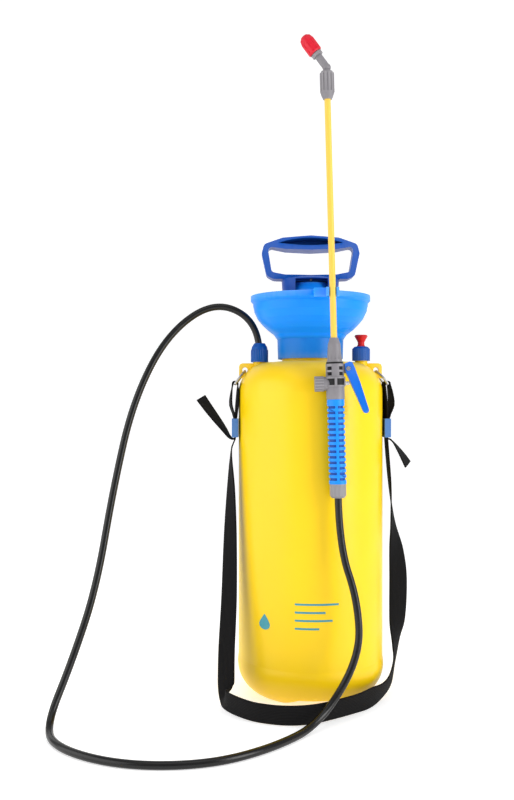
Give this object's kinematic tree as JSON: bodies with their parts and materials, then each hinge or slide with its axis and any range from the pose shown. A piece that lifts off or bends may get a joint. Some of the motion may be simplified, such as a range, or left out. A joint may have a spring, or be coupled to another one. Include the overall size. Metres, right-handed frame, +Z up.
{
  "type": "pump sprayer",
  "caption": "Upright hand-pumped pressure sprayer with a filling funnel, pull-up pump handle, relief valve, hose, clip-on spray wand with a trigger, and a shoulder strap.",
  "frame": {"origin": "centre of the tank's base, on the floor that the feet stand on", "axes": "+Z up along the tank's axis, +X towards the side of the relief valve, -Y towards the side where the spray wand hangs"},
  "size_m": [0.3993, 0.3371, 0.745],
  "materials": {
    "tank_yellow": "satin blow-moulded polyethylene",
    "funnel_blue": "semi-gloss moulded polypropylene",
    "handle_blue": "semi-gloss moulded polypropylene",
    "nut_blue": "satin moulded plastic",
    "grip_blue": "satin ribbed plastic",
    "trigger_blue": "smooth moulded plastic",
    "buckle_blue": "smooth moulded plastic",
    "knob_red": "smooth moulded plastic",
    "nozzle_red": "satin moulded plastic",
    "valve_grey": "satin moulded plastic",
    "band_dark": "matt moulded plastic",
    "lance_yellow": "smooth extruded tube",
    "hose_black": "glossy extruded PVC",
    "webbing_black": "woven polypropylene webbing",
    "hook_steel": "bright drawn wire",
    "spring_steel": "spring wire",
    "seal_rubber": "moulded seal rubber",
    "inner_plastic": "natural moulded plastic"
  },
  "bodies": {
    "tank": {"tank": "tank_yellow", "funnel": "funnel_blue", "neck_gasket": "seal_rubber", "outlet_fitting": "inner_plastic", "outlet_gasket": "seal_rubber", "outlet_nut": "nut_blue", "dip_tube": "inner_plastic", "dip_strainer": "inner_plastic", "hose": "hose_black", "relief_body": "nut_blue", "relief_gasket": "seal_rubber", "relief_spring": "spring_steel", "hook_left": "hook_steel", "hook_right": "hook_steel", "buckle_left": "buckle_blue", "buckle_right": "buckle_blue", "shoulder_strap": "webbing_black"},
    "pump_seal": {"pump_seal": "seal_rubber"},
    "pump": {"pump_cap": "funnel_blue", "pump_barrel": "inner_plastic", "check_valve": "seal_rubber", "valve_cage": "inner_plastic", "rod_guide": "inner_plastic"},
    "piston_rod": {"pump_handle": "handle_blue", "handle_pin": "hook_steel", "piston_rod": "inner_plastic", "piston": "inner_plastic", "piston_seal": "seal_rubber"},
    "relief_stem": {"relief_stem": "inner_plastic", "relief_knob": "knob_red", "relief_seal": "seal_rubber"},
    "wand": {"hose_nut": "valve_grey", "hose_tail": "valve_grey", "grip_ring": "valve_grey", "grip_pipe": "inner_plastic", "wand_strainer": "hook_steel", "grip": "grip_blue", "valve_body": "valve_grey", "valve_band": "band_dark", "spring_cap": "valve_grey", "valve_spring": "spring_steel", "trigger_pin": "hook_steel", "lance_seal": "seal_rubber", "lance_nut": "valve_grey", "valve_ring": "band_dark", "lance_tube": "lance_yellow", "nozzle_nut": "valve_grey"},
    "trigger": {"trigger": "trigger_blue"},
    "valve_stem": {"valve_stem": "inner_plastic", "stem_seal": "seal_rubber"},
    "nozzle_elbow": {"nozzle_elbow": "valve_grey", "nozzle_seal": "seal_rubber", "swirl_insert": "inner_plastic"},
    "nozzle_cap": {"nozzle_cap": "nozzle_red"}
  },
  "joints": [
    {"name": "pump_lift", "type": "slide", "parent": "tank", "child": "pump_seal", "axis": [0, 0, 1], "range_m": [0, 0.38]},
    {"name": "pump_turn", "type": "hinge", "parent": "pump_seal", "child": "pump", "pos_m": [0, 0, 0.42], "axis": [0, 0, 1], "range_deg": [0, 630]},
    {"name": "pump_stroke", "type": "slide", "parent": "pump", "child": "piston_rod", "axis": [0, 0, 1], "range_m": [0, 0.2]},
    {"name": "relief_pull", "type": "slide", "parent": "tank", "child": "relief_stem", "axis": [0, 0, 1], "range_m": [0, 0.0025], "stiffness_N_per_m": 600, "springref_m": -0.002, "deforming": ["relief_spring"]},
    {"name": "wand_unclip", "type": "slide", "parent": "tank", "child": "wand", "axis": [0, -1, 0], "range_m": [0, 0.08]},
    {"name": "trigger_squeeze", "type": "hinge", "parent": "wand", "child": "trigger", "pos_m": [0.0356, -0.098, 0.37934], "axis": [0, 1, 0], "range_deg": [0, 12], "stiffness_Nm_per_rad": 0.4, "springref_deg": -17.19},
    {"name": "stem_push", "type": "slide", "parent": "wand", "child": "valve_stem", "axis": [-0.9996, 0, -0.0269], "range_m": [0, 0.0036], "deforming": ["valve_spring"]},
    {"name": "nozzle_swivel", "type": "hinge", "parent": "wand", "child": "nozzle_elbow", "pos_m": [0.01224, -0.098, 0.70883], "axis": [-0.0269, 0, 0.9996], "range_deg": [-180, 180]},
    {"name": "nozzle_adjust", "type": "hinge", "parent": "nozzle_elbow", "child": "nozzle_cap", "pos_m": [0.01224, -0.098, 0.70883], "axis": [-0.5954, 0, 0.8034], "range_deg": [0, 540]}
  ],
  "couplings": [
    {"joint": "stem_push", "follows": "trigger_squeeze", "m_per_rad": 0.0165}
  ]
}
